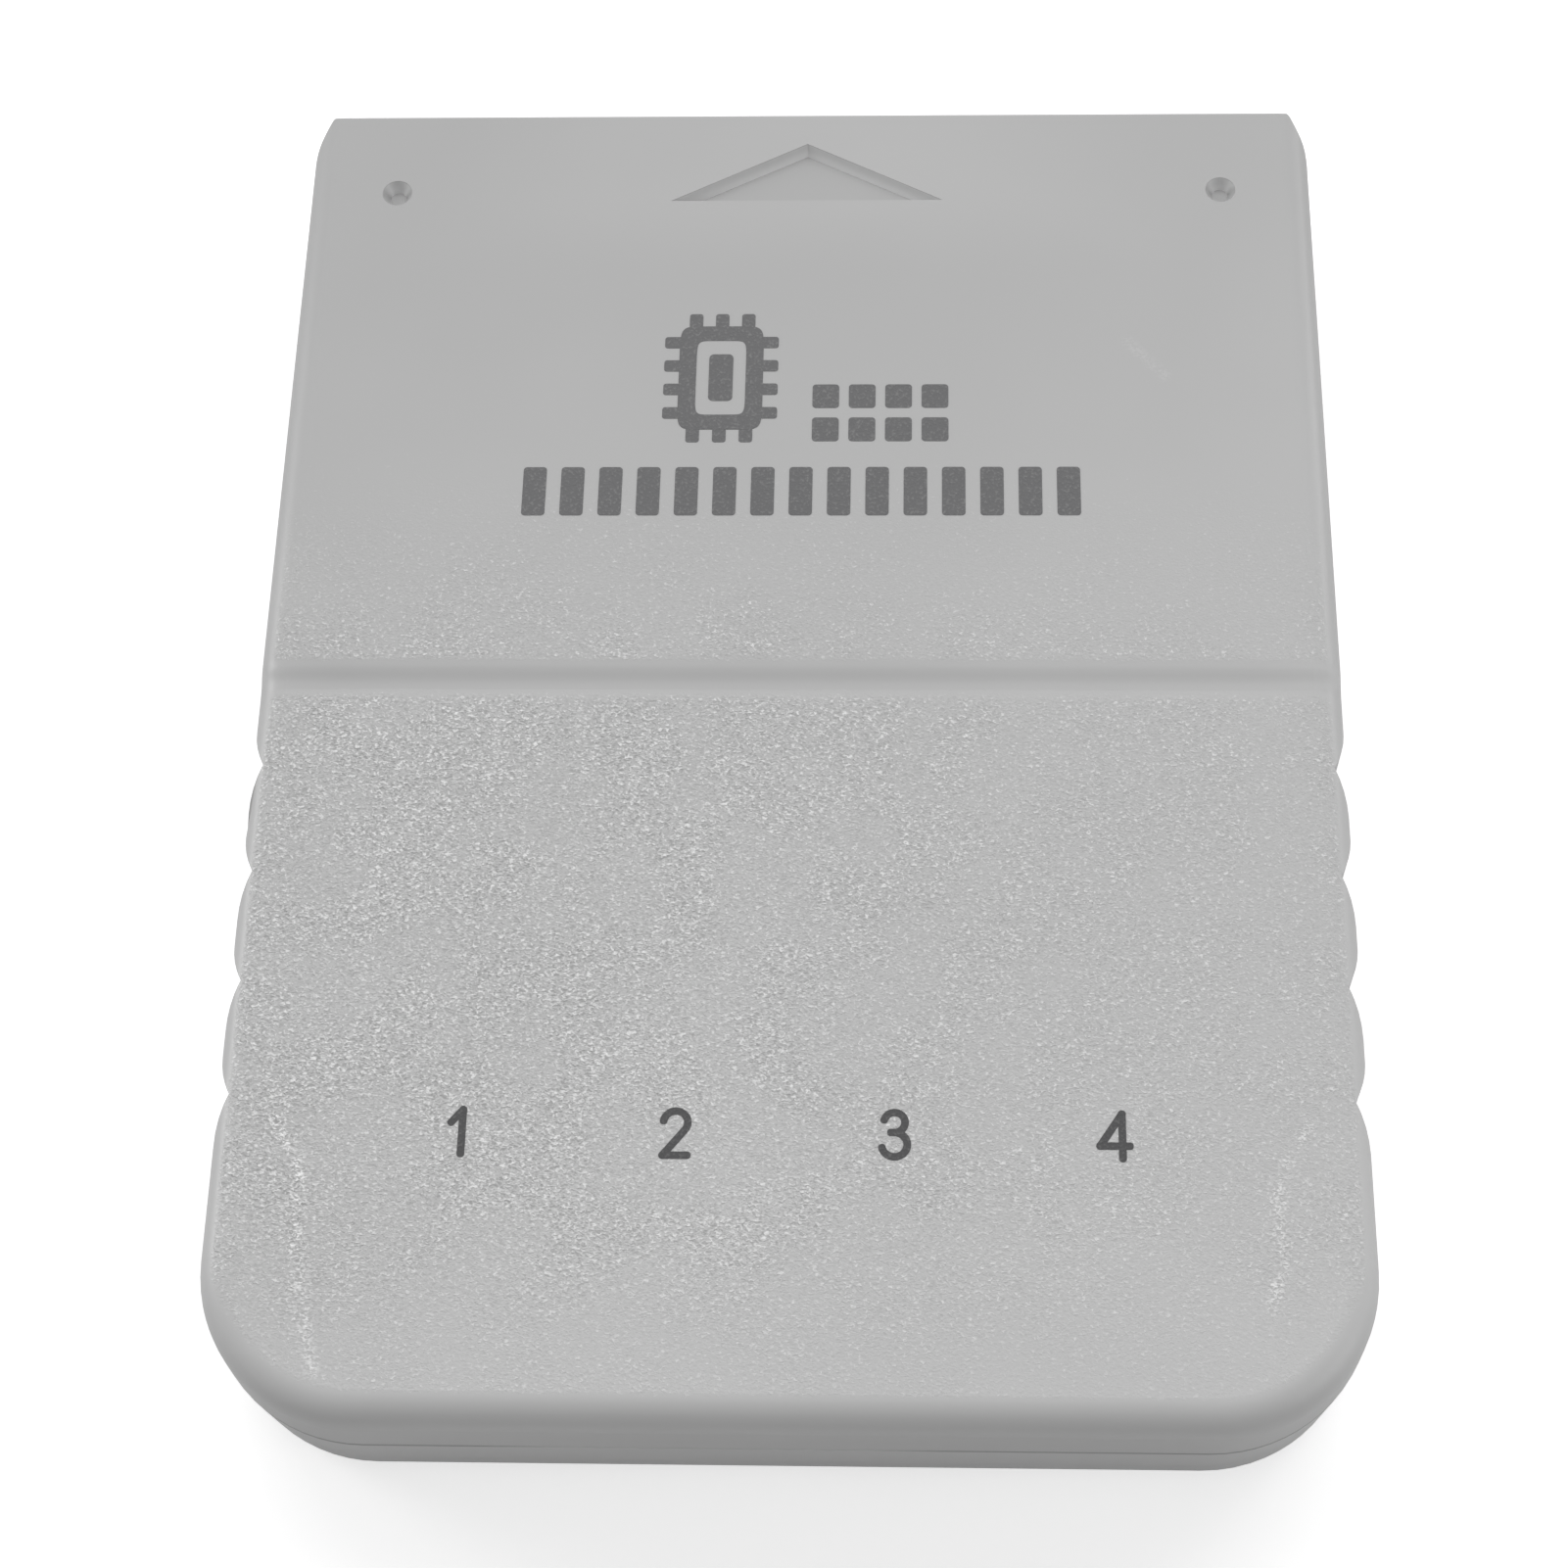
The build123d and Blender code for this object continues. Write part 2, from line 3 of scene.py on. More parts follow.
import bpy
import numpy as np
from mathutils import Matrix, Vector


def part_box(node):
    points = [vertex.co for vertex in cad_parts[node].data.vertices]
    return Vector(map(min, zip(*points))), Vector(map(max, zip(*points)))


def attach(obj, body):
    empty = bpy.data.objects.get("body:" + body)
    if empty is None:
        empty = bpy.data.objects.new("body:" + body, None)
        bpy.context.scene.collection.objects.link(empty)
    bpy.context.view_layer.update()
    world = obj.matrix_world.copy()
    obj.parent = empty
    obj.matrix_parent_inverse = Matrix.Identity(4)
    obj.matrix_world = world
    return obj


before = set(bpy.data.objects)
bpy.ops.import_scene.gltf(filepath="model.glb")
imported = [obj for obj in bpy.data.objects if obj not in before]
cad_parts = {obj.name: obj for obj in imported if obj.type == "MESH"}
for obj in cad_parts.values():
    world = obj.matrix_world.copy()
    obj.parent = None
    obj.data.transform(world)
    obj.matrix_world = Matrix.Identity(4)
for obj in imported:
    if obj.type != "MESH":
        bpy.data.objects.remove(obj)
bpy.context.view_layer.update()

# Bottom shell: the lower half of the case, with the contact bays at its nose and the screw's recess.
# It is injection-moulded grey ABS. The tool's flat faces are spark-eroded, which leaves a fine
# sparkling grain on the plastic, and the grain runs over its side edges. Walls and the step are smooth.

MM = 0.001


class Wire:
    """A shader socket that works in Python expressions: each operator adds a Math node to its tree."""

    def __init__(self, tree, socket=None):
        self.tree = tree
        self.socket = socket

    def node(self, kind, settings=(), sockets=(), output=0):
        """Adds any node: its settings come first, then each socket takes a value or another Wire's link."""
        made = self.tree.nodes.new("ShaderNode" + kind)
        for name, value in dict(settings).items():
            setattr(made, name, value)
        for name, value in dict(sockets).items():
            if isinstance(value, Wire):
                self.tree.links.new(value.socket, made.inputs[name])
            else:
                made.inputs[name].default_value = value
        return Wire(self.tree, made.outputs[output])

    def math(self, operation, *values):
        """One Math node on the given values, in order."""
        return self.node("Math", {"operation": operation}, enumerate(values))

    def __add__(self, other):
        return self.math("ADD", self, other)

    def __radd__(self, other):
        return self.math("ADD", other, self)

    def __sub__(self, other):
        return self.math("SUBTRACT", self, other)

    def __rsub__(self, other):
        return self.math("SUBTRACT", other, self)

    def __mul__(self, other):
        return self.math("MULTIPLY", self, other)

    def __rmul__(self, other):
        return self.math("MULTIPLY", other, self)

    def __abs__(self):
        return self.math("ABSOLUTE", self)


def srgb(red, green, blue):
    """Linear colour of an 8-bit screen colour: a straight toe, then a power of 2.4."""
    channels = np.array([red, green, blue]) / 255
    linear = np.where(channels <= 0.04045, channels / 12.92, ((channels + 0.055) / 1.055) ** 2.4)
    return (*linear.tolist(), 1.0)


def start_finish(name, constants):
    """A new material with these constant values on its shader, and Object coordinates in millimetres."""
    material = bpy.data.materials.new(name)
    material.use_nodes = True
    tree = material.node_tree
    shader = tree.nodes["Principled BSDF"]
    for socket, value in constants.items():
        shader.inputs[socket].default_value = value
    metres = Wire(tree).node("TexCoord", output=3)
    place = metres.node("VectorMath", {"operation": "SCALE"}, {0: metres, "Scale": 1 / MM})
    return material, shader, place


def feed(shader, sockets):
    """Links each Wire to the shader socket of that name."""
    for name, wire in sockets.items():
        wire.tree.links.new(wire.socket, shader.inputs[name])


def axes(vector):
    """The three parts of a vector."""
    tree = vector.tree
    split = vector.node("SeparateXYZ", sockets={0: vector}).socket.node
    return [Wire(tree, output) for output in split.outputs]


def ease(value, start, end):
    """Smooth step: 0 at start and 1 at end, which may lie either way round."""
    limits = {"Value": value, "From Min": start, "From Max": end}
    return value.node("MapRange", {"interpolation_type": "SMOOTHSTEP"}, limits)


def cloud(place, size, detail=0.0, twist=0.0):
    """Noise about 0.5 with lumps of this size, in millimetres, drawn out into curls by twist."""
    sockets = {"Vector": place, "Scale": 1 / size, "Detail": detail, "Distortion": twist}
    return place.node("TexNoise", (), sockets)


def blend(factor, first, second):
    """Mix of two colours, from the first at 0 to the second at 1."""
    return factor.node("Mix", {"data_type": "RGBA"}, {0: factor, 6: first, 7: second}, output=2)


def wear(name, finish):
    """Gives a CAD node its finish."""
    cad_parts[name].material_slots[0].material = finish


# The lower shell's greys are paler than the upper shell's: painted light from the floor's bounce.
LOWER_GREY = srgb(180, 180, 180)
LOWER_PAINTED_LIT = srgb(205, 205, 205)
# Both shells are painted lighter towards the grip's near right corner: painted light where more light falls.
PAINTED_LIGHT_MIDDLE = 0.5
PAINTED_LIGHT_SLANT = 0.26
PAINTED_LIGHT_REACH = 30.0
# The middle of the nose is paler.
NOSE_PALER = 0.22
NOSE_PALER_Y = (20.0, 25.0)
NOSE_PALER_X = (18.0, 8.0)
# The pale grey is painted highlight: glints on the grain's crests, and light on the step and the sunk walls.
PAINTED_HIGHLIGHT_GREY = srgb(250, 250, 250)
# The dark grey is painted shade in the grain's pits and the sunk marks, and the colour of broad stains.
SHADE_AND_STAIN_GREY = srgb(104, 104, 104)
CASE_ROUGHNESS = 0.5
CASE_SPECULAR = 0.4
GLINT_POLISH = 0.12
EDGE_POLISH = 0.15
EDGE_FACING = (0.97, 0.85)
FLAT_FACING = (0.8, 0.93)
FLAT_LEAN = (0.16, 0.04)
STEP_Y = 1.26
STEP_MARGIN_Y = STEP_Y - 0.15
STEP_MARGIN = (0.5, 1.0)
# The step's face that leans to the grip is painted lighter: a painted highlight, most at its ends and to the
# right.
STEP_REACH = (1.4, 0.9)
STEP_LEAN = (0.0, -0.2)
STEP_HIGHLIGHT = 0.052
STEP_HIGHLIGHT_SLANT = 0.0013
STEP_HIGHLIGHT_ENDS = 0.055
STEP_ENDS_X = (18.0, 20.8)
GRAIN_TURN = (0.6, 0.4, 0.5)
GRAIN_STRETCH = (0.88, 1.2, 1.0)
GRAIN_SIZE = 0.113
GRAIN_DETAIL = 0.4
GRAIN_TWIST = 0.8
GRAIN_DEPTH = 0.05
GRAIN_BUMP = 1.0
GLINT_RANGE = (0.5, 0.8)
GLINT_SHARE = 0.74
CREST_LOSS = 0.22
PIT_SHADE_RANGE = (0.5, 0.2)
PIT_SHADE_SHARE = 0.44
PATCH_SIZE = 3.4
PATCH_DETAIL = 1.0
PATCH_RANGE = (0.58, 0.38)
PATCH_LOSS = 0.3
GRAIN_Y = (12.5, -3.0)
GRIP_EDGE_Y = (-20.5, -27.0)
GRIP_EDGE_LOSS = 0.55
RUBBED_SIDE_X = (-8.0, 17.0)
RUBBED_SIDE_LOSS = 0.4
# Rubbed streaks: more grain, and painted glints, which are painted highlights, on its crests.
RUB_GRAIN = 0.25
RUB_GLINT = 0.55
RUB_RANGE = (0.44, 0.64)
STAIN_SIZE = 14.0
STAIN_DETAIL = 2.0
STAIN_RANGE = (0.3, 0.7)
STAIN_SHARE = 0.05
# Painted shade in the sunk marks, and painted highlight on their walls that face the grip.
MARKS_SHADE = 0.12
WALL_HIGHLIGHT_FACING = (-0.1, -0.6)
# Painted shade in the seam between the shells, less in the middle.
SEAM_Z = 4.3
SEAM_HALF_H = 0.15
SEAM_SHADE_GREY = srgb(66, 66, 66)
SEAM_SHADE = 0.9
SEAM_UNSHADED = 0.8
SEAM_UNSHADED_X = -2.5
SEAM_UNSHADED_REACH = (9.5, 5.0)


def moulded_grey(name, grey, painted_lit, rubs=None, marks=None):
    """Grey ABS with a spark-eroded grain on its flat faces and side edges: painted glints, which are
    painted highlights, on its crests, and painted shade in its pits.

    The grain's strength is flatness times handling wear times loose patches: full on the left of the
    grip, fainter to the right and at its end, and polished away at the step and the nose. Where it is
    faint, only its highest crests still carry painted glints. The step's face that leans to the grip is
    painted lighter, a painted highlight, most at its ends and to the right. The plastic is painted
    lighter towards the grip's near right corner, painted light where more light falls, and the middle
    of the nose is paler. Painted shade lies in the seam between the shells, less in the middle. rubs adds
    streaks of worn grain with painted glints on their crests. marks masks what is sunk, which gets
    painted shade, and gives the share of painted highlight on the walls there that face the grip.
    """
    material, shader, place = start_finish(name, {"Specular IOR Level": CASE_SPECULAR})
    x, y, z = axes(place)
    _, lean, upright = axes(place.node("NewGeometry", output=1))
    facing = abs(upright)
    flat = ease(facing, *FLAT_FACING) * ease(abs(lean), *FLAT_LEAN)
    along = ease(y, *GRAIN_Y) * (1 - GRIP_EDGE_LOSS * ease(y, *GRIP_EDGE_Y))
    across = 1 - RUBBED_SIDE_LOSS * ease(x, *RUBBED_SIDE_X)
    patch = 1 - PATCH_LOSS * ease(cloud(place, PATCH_SIZE, PATCH_DETAIL), *PATCH_RANGE)
    beyond = ease(abs(y - STEP_MARGIN_Y), *STEP_MARGIN)
    strength = flat * along * across * patch * beyond
    drawn = place.node("VectorMath", {"operation": "MULTIPLY"}, {0: place, 1: GRAIN_STRETCH})
    turn = {"Vector": drawn, "Rotation": GRAIN_TURN}
    turned = place.node("VectorRotate", {"rotation_type": "EULER_XYZ"}, turn)
    grain = cloud(turned, GRAIN_SIZE, GRAIN_DETAIL, GRAIN_TWIST)
    kept = strength.math("SQRT", strength)
    glint = ease(grain - CREST_LOSS * (1 - kept), *GLINT_RANGE) * kept
    if rubs:
        # Rubbed streaks of worn grain, with painted glints on their crests.
        streak = rubs(place) * flat
        strength = strength + streak * RUB_GRAIN
        glint = glint + streak * RUB_GLINT * ease(grain, *RUB_RANGE)
    pit_shade = ease(grain, *PIT_SHADE_RANGE) * strength * kept
    stain = ease(cloud(place, STAIN_SIZE, STAIN_DETAIL), *STAIN_RANGE)
    # Paler in the middle of the nose.
    nose = ease(y, *NOSE_PALER_Y) * ease(abs(x), *NOSE_PALER_X)
    # Painted light: lighter towards the grip's near right corner, where more light falls.
    painted_light = PAINTED_LIGHT_MIDDLE + (x * PAINTED_LIGHT_SLANT - y) * (PAINTED_LIGHT_MIDDLE / PAINTED_LIGHT_REACH)
    colour = blend(painted_light + NOSE_PALER * nose, grey, painted_lit)
    colour = blend(stain * STAIN_SHARE, colour, SHADE_AND_STAIN_GREY)
    # Painted shade in the seam between the shells, less in the middle.
    unshaded = SEAM_UNSHADED * ease(abs(x - SEAM_UNSHADED_X), *SEAM_UNSHADED_REACH)
    seam_shade = ease(abs(z - SEAM_Z), SEAM_HALF_H, 0.0) * (1 - unshaded)
    colour = blend(seam_shade * SEAM_SHADE, colour, SEAM_SHADE_GREY)
    # Painted highlight on the step's face that leans to the grip, most at its ends and to the right.
    step_highlight = STEP_HIGHLIGHT + STEP_HIGHLIGHT_SLANT * x + STEP_HIGHLIGHT_ENDS * ease(abs(x), *STEP_ENDS_X)
    step = ease(abs(y - STEP_Y), *STEP_REACH) * ease(lean, *STEP_LEAN)
    colour = blend(step * step_highlight, colour, PAINTED_HIGHLIGHT_GREY)
    if marks:
        # Painted shade in what is sunk, and painted highlight on its walls that face the grip.
        sunk, wall_highlight = marks(place)
        colour = blend(sunk * MARKS_SHADE, colour, SHADE_AND_STAIN_GREY)
        colour = blend(sunk * wall_highlight * ease(lean, *WALL_HIGHLIGHT_FACING), colour, PAINTED_HIGHLIGHT_GREY)
    # Painted shade in the grain's pits, and painted glints, which are painted highlights, on its crests.
    colour = blend(pit_shade * PIT_SHADE_SHARE, colour, SHADE_AND_STAIN_GREY)
    colour = blend(glint * GLINT_SHARE, colour, PAINTED_HIGHLIGHT_GREY)
    bump = {"Strength": GRAIN_BUMP, "Distance": GRAIN_DEPTH * MM, "Height": grain * strength}
    relief = place.node("Bump", (), bump)
    rough = CASE_ROUGHNESS - GLINT_POLISH * glint - EDGE_POLISH * ease(facing, *EDGE_FACING)
    feed(shader, {"Base Color": colour, "Roughness": rough, "Normal": relief})
    return material


# The lower shell is painted paler than the upper: painted light from the floor's bounce.
wear("bottom_shell", moulded_grey("case_grey_lower", LOWER_GREY, LOWER_PAINTED_LIT))

# Contact fingers: eight flat strips under the board's nose that wipe against the console's springs.
# They are copper, plated with nickel and gold, and bonded to the board.

GOLD = srgb(231, 190, 112)
GOLD_RUBBED = srgb(204, 158, 84)
WIPE_LENGTH = 3.0
WIPE_WIDTH = 0.12
WIPE_DETAIL = 2.0
WIPE_RANGE = (0.42, 0.66)
WIPE_SHARE = 0.7
GOLD_ROUGHNESS = 0.22
WIPE_ROUGHNESS = 0.2


def wiped_gold():
    """Gold plate with fine wipe marks along the card: noise that is long in Y and narrow in X."""
    material, shader, place = start_finish("contact_gold", {"Metallic": 1.0})
    stretch = (1 / WIPE_WIDTH, 1 / WIPE_LENGTH, 1.0)
    drawn = place.node("VectorMath", {"operation": "MULTIPLY"}, {0: place, 1: stretch})
    wipe = ease(cloud(drawn, 1.0, WIPE_DETAIL), *WIPE_RANGE)
    colour = blend(wipe * WIPE_SHARE, GOLD, GOLD_RUBBED)
    feed(shader, {"Base Color": colour, "Roughness": GOLD_ROUGHNESS + WIPE_ROUGHNESS * wipe})
    return material


gold = wiped_gold()
for node_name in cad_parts:
    if node_name.startswith("contact_finger"):
        wear(node_name, gold)

# Circuit board: one millimetre of glass-fibre laminate that carries the chips over the contacts.
# Copper tracks run under its green solder mask, and its cut edges show the pale laminate.

MASK_GREEN = srgb(30, 92, 52)
TRACK_GREEN = srgb(52, 128, 74)
LAMINATE = srgb(176, 168, 118)
TRACK_PITCH = 1.27
TRACK_HALF_W = 0.16
TRACK_BLOCK = 7.0
TRACK_RISE = 0.03
TRACK_BUMP = 0.6
TRACK_EDGE = 1.3
TURNED_SHARE = 0.5
CUT_FACING = (0.9, 0.5)
MASK_COAT = 0.25
MASK_COAT_ROUGHNESS = 0.2
MASK_ROUGHNESS = 0.35
CUT_ROUGHNESS = 0.4


def masked_board():
    """Green mask over tracks: lines one pitch apart, turned along X or Y at random from block to block."""
    coat = {"Coat Weight": MASK_COAT, "Coat Roughness": MASK_COAT_ROUGHNESS}
    material, shader, place = start_finish("board_green", coat)
    x, y, _ = axes(place)
    corner = place.node("VectorMath", {"operation": "SNAP"}, {0: place, 1: (TRACK_BLOCK,) * 3})
    chance = place.node("TexWhiteNoise", {"noise_dimensions": "3D"}, {"Vector": corner})
    turned = chance.math("GREATER_THAN", chance, TURNED_SHARE)
    across = x + turned * (y - x)
    lane = abs(across.math("WRAP", across, TRACK_PITCH / 2, -TRACK_PITCH / 2))
    track = ease(lane, TRACK_HALF_W * TRACK_EDGE, TRACK_HALF_W)
    facing = abs(axes(place.node("NewGeometry", output=1))[2])
    cut = ease(facing, *CUT_FACING)
    colour = blend(track, MASK_GREEN, TRACK_GREEN)
    colour = blend(cut, colour, LAMINATE)
    relief = place.node("Bump", (), {"Strength": TRACK_BUMP, "Distance": TRACK_RISE * MM, "Height": track})
    feed(shader, {"Base Color": colour, "Roughness": MASK_ROUGHNESS + CUT_ROUGHNESS * cut, "Normal": relief})
    return material


wear("circuit_board", masked_board())

# Chips: the controller and the memory, black epoxy mouldings over their silicon.
# Their tinned copper-alloy legs are bent to stand on the board and soldered there.

EPOXY = srgb(38, 38, 40)
EPOXY_DUST = srgb(58, 58, 60)
TIN = srgb(200, 200, 196)
LEG_REACH = 1.2
LEG_EDGE = 0.02
EPOXY_GRAIN = 0.12
EPOXY_DETAIL = 2.0
EPOXY_RELIEF = 0.01
EPOXY_BUMP = 0.5
DUST_RANGE = (0.4, 0.7)
EPOXY_ROUGHNESS = 0.6
TIN_POLISH = 0.28


def node_centre(name):
    """Middle of a CAD node's box and half of its size, in millimetres."""
    low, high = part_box(name)
    middle = (low + high) / 2 / MM
    return middle, (high - low) / 2 / MM


def tinned_ends(name, body, dust, reach):
    """A part whose ends in Y are tinned for this reach and whose body between them is matt."""
    middle, half = node_centre(name)
    material, shader, place = start_finish(name + "_finish", {})
    y = axes(place)[1]
    body_half = half.y - reach
    end = ease(abs(y - middle.y), body_half - LEG_EDGE, body_half + LEG_EDGE)
    speck = cloud(place, EPOXY_GRAIN, EPOXY_DETAIL)
    colour = blend(ease(speck, *DUST_RANGE), body, dust)
    colour = blend(end, colour, TIN)
    relief = place.node("Bump", (), {"Strength": EPOXY_BUMP, "Distance": EPOXY_RELIEF * MM, "Height": speck})
    rough = EPOXY_ROUGHNESS - TIN_POLISH * end
    feed(shader, {"Base Color": colour, "Metallic": end, "Roughness": rough, "Normal": relief})
    return material


for node_name in ("controller_chip", "memory_chip"):
    wear(node_name, tinned_ends(node_name, EPOXY, EPOXY_DUST, LEG_REACH))

# Lamp resistors and capacitors: small ceramic blocks, glazed black or fired tan.
# Each has a tinned cap at both ends and is soldered down by them.

GLAZE = srgb(34, 34, 38)
GLAZE_DUST = srgb(52, 52, 56)
FIRED_TAN = srgb(158, 122, 86)
FIRED_TAN_PALE = srgb(178, 142, 104)
CAP_REACH = 0.35

for node_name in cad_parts:
    if node_name.startswith("lamp_resistor"):
        wear(node_name, tinned_ends(node_name, GLAZE, GLAZE_DUST, CAP_REACH))
    if node_name.startswith("capacitor"):
        wear(node_name, tinned_ends(node_name, FIRED_TAN, FIRED_TAN_PALE, CAP_REACH))

# Page lamps and resonator: four small lamps under the numerals, and the clock resonator.
# A lamp is a clear cast lens on a white carrier; the resonator is a plated lid on a ceramic tray.

CARRIER_WHITE = srgb(226, 224, 214)
LENS_CLEAR = srgb(240, 236, 206)
LAMP_BASE_T = 0.4
TRAY_DARK = srgb(60, 56, 54)
LID_NICKEL = srgb(206, 204, 198)
TRAY_T = 0.4
SPLIT_EDGE = 0.01
SPECK_SIZE = 0.2
SPECK_DETAIL = 2.0
SPECK_RANGE = (0.3, 0.7)
SPECK_SHARE = 0.08
CARRIER_ROUGHNESS = 0.6
UPPER_POLISH = 0.42
SPECK_ROUGHNESS = 0.1


def stacked(name, lower, upper, split, metal):
    """A low carrier of one colour and the piece that stands on it, split at this height above its foot."""
    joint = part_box(name)[0].z / MM + split
    material, shader, place = start_finish(name + "_finish", {})
    z = axes(place)[2]
    above = ease(z, joint - SPLIT_EDGE, joint + SPLIT_EDGE)
    speck = ease(cloud(place, SPECK_SIZE, SPECK_DETAIL), *SPECK_RANGE)
    colour = blend(above, lower, upper)
    colour = blend(speck * SPECK_SHARE, colour, EPOXY)
    rough = CARRIER_ROUGHNESS - UPPER_POLISH * above + SPECK_ROUGHNESS * speck
    feed(shader, {"Base Color": colour, "Metallic": above * metal, "Roughness": rough})
    return material


for node_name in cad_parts:
    if node_name.startswith("page_lamp"):
        wear(node_name, stacked(node_name, CARRIER_WHITE, LENS_CLEAR, LAMP_BASE_T, 0.0))
wear("resonator", stacked("resonator", TRAY_DARK, LID_NICKEL, TRAY_T, 1.0))

# Top shell: the upper half of the case, with the neck, its arrow and the step down to the grip.
# It is the same moulding as the lower half; thumbs have rubbed streaks at its near corners, drawn with
# painted glints.

# Painted light: the upper shell's grey is lighter towards the grip's near right corner.
CASE_GREY = srgb(174, 174, 174)
CASE_PAINTED_LIT = srgb(198, 198, 198)
GRIP_DROP = 0.24
NECK_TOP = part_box("top_shell")[1].z / MM
GRIP_TOP = NECK_TOP - GRIP_DROP
NOSE_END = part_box("top_shell")[1].y / MM
RUB_LEFT = [(-19.05, -17.46), (-17.95, -19.36), (-17.8, -23.47), (-16.85, -27.08)]
RUB_RIGHT = [(19.08, -17.66), (17.93, -19.36), (17.87, -22.77), (17.38, -24.93)]
RUB_NOSE = [(13.45, 16.94), (14.94, 15.25)]
RUB_HALF_W = 0.45
RUB_BREAK = 1.1
RUB_BREAK_DETAIL = 1.0
RUB_BREAK_RANGE = (0.32, 0.52)
RUB_NOSE_SHARE = 0.22
MARKS_HALF_W = 19.5
MARKS_FROM_NOSE = (1.3, 5.2)
MARKS_SOFT = 0.3
MARKS_SUNK = (0.0, 0.04)
MARKS_DEEP = (0.1, 0.42)
# Share of painted highlight on the sunk walls, more where they are deeper.
WALL_HIGHLIGHT_LEAST = 0.42
WALL_HIGHLIGHT_MORE = 0.28


def stroke_distance(place, start, end):
    """Distance in plan from a straight stroke: to its nearest point, found by a clamped projection."""
    run = np.subtract(end, start)
    along = (run / np.dot(run, run)).tolist()
    offset = place.node("VectorMath", {"operation": "SUBTRACT"}, {0: place, 1: (*start, 0.0)})
    flat = place.node("VectorMath", {"operation": "MULTIPLY"}, {0: offset, 1: (1.0, 1.0, 0.0)})
    share = place.node("VectorMath", {"operation": "DOT_PRODUCT"}, {0: flat, 1: (*along, 0.0)}, output=1)
    share = place.node("Clamp", (), {"Value": share})
    foot = place.node("CombineXYZ", (), {0: share * run[0].item(), 1: share * run[1].item()})
    return place.node("VectorMath", {"operation": "DISTANCE"}, {0: flat, 1: foot}, output=1)


def rub_streak(place, points):
    """1 along a chain of strokes, fading to 0 over its half-width and broken up along its length."""
    strokes = [stroke_distance(place, *pair) for pair in zip(points, points[1:])]
    nearest = strokes[0]
    for stroke in strokes[1:]:
        nearest = nearest.math("MINIMUM", nearest, stroke)
    broken = ease(cloud(place, RUB_BREAK, RUB_BREAK_DETAIL), *RUB_BREAK_RANGE)
    return ease(nearest, RUB_HALF_W, 0.0) * broken


def thumb_rubs(place):
    """The two thumb streaks and the faint scratch on the neck."""
    thumbs = rub_streak(place, RUB_LEFT) + rub_streak(place, RUB_RIGHT)
    return thumbs + RUB_NOSE_SHARE * rub_streak(place, RUB_NOSE)


def sunk_marks(place):
    """1 where the arrow and the two round pits are sunk, and the share of painted highlight on their walls.
    """
    x, y, z = axes(place)
    shallow, deep = (NOSE_END - distance for distance in MARKS_FROM_NOSE)
    beside = ease(abs(x), MARKS_HALF_W, MARKS_HALF_W - MARKS_SOFT)
    between = ease(y, deep, deep + MARKS_SOFT) * ease(y, shallow, shallow - MARKS_SOFT)
    sunk = ease(NECK_TOP - z, *MARKS_SUNK)
    return beside * between * sunk, WALL_HIGHLIGHT_LEAST + WALL_HIGHLIGHT_MORE * ease(NECK_TOP - z, *MARKS_DEEP)


wear("top_shell", moulded_grey("case_grey_upper", CASE_GREY, CASE_PAINTED_LIT, thumb_rubs, sunk_marks))

# Case screw: one self-tapping steel screw, driven up from the underside into the top shell's boss.
# It is rolled wire with a cross slot, plated with zinc.

ZINC = srgb(196, 198, 202)
ZINC_DULL = srgb(150, 152, 154)
DULL_SIZE = 0.5
DULL_DETAIL = 3.0
DULL_RANGE = (0.35, 0.65)
ZINC_ROUGHNESS = 0.28
DULL_ROUGHNESS = 0.2


def plated_zinc():
    """Zinc plate with cloudy dull patches."""
    material, shader, place = start_finish("screw_zinc", {"Metallic": 1.0})
    dull = ease(cloud(place, DULL_SIZE, DULL_DETAIL), *DULL_RANGE)
    colour = blend(dull, ZINC, ZINC_DULL)
    feed(shader, {"Base Color": colour, "Roughness": ZINC_ROUGHNESS + DULL_ROUGHNESS * dull})
    return material


wear("case_screw", plated_zinc())

# Print on the neck: a chip sign, a block of memory cells and a bar of blocks.
# It is dark grey ink, pad-printed as a thin film on the moulded face.

INK_T = 0.012
INK_SUNK = 0.006
INK_LAYER = 0.003
INK_GREY = srgb(104, 104, 105)
INK_WORN = srgb(128, 128, 128)
INK_STEP = 0.06
CORNER_STEPS = 6
INK_SPECULAR = 0.3
INK_DETAIL = 1.0
INK_BUMP = 0.5
INK_THIN_RANGE = (0.52, 0.74)
INK_THIN_SHARE = 0.6
INK_ROUGHNESS = 0.62
INK_POLISH = 0.1


def flat_section(centre, reach, level):
    """Rings of four points: right and left of each centre by its reach, at the film's foot and its top."""
    foot = np.full((len(centre), 1), level - INK_SUNK)
    top = np.full((len(centre), 1), level + INK_T)
    corners = [(-reach, foot), (reach, foot), (reach, top), (-reach, top)]
    return np.stack([np.hstack((centre + offset, height)) for offset, height in corners], axis=1)


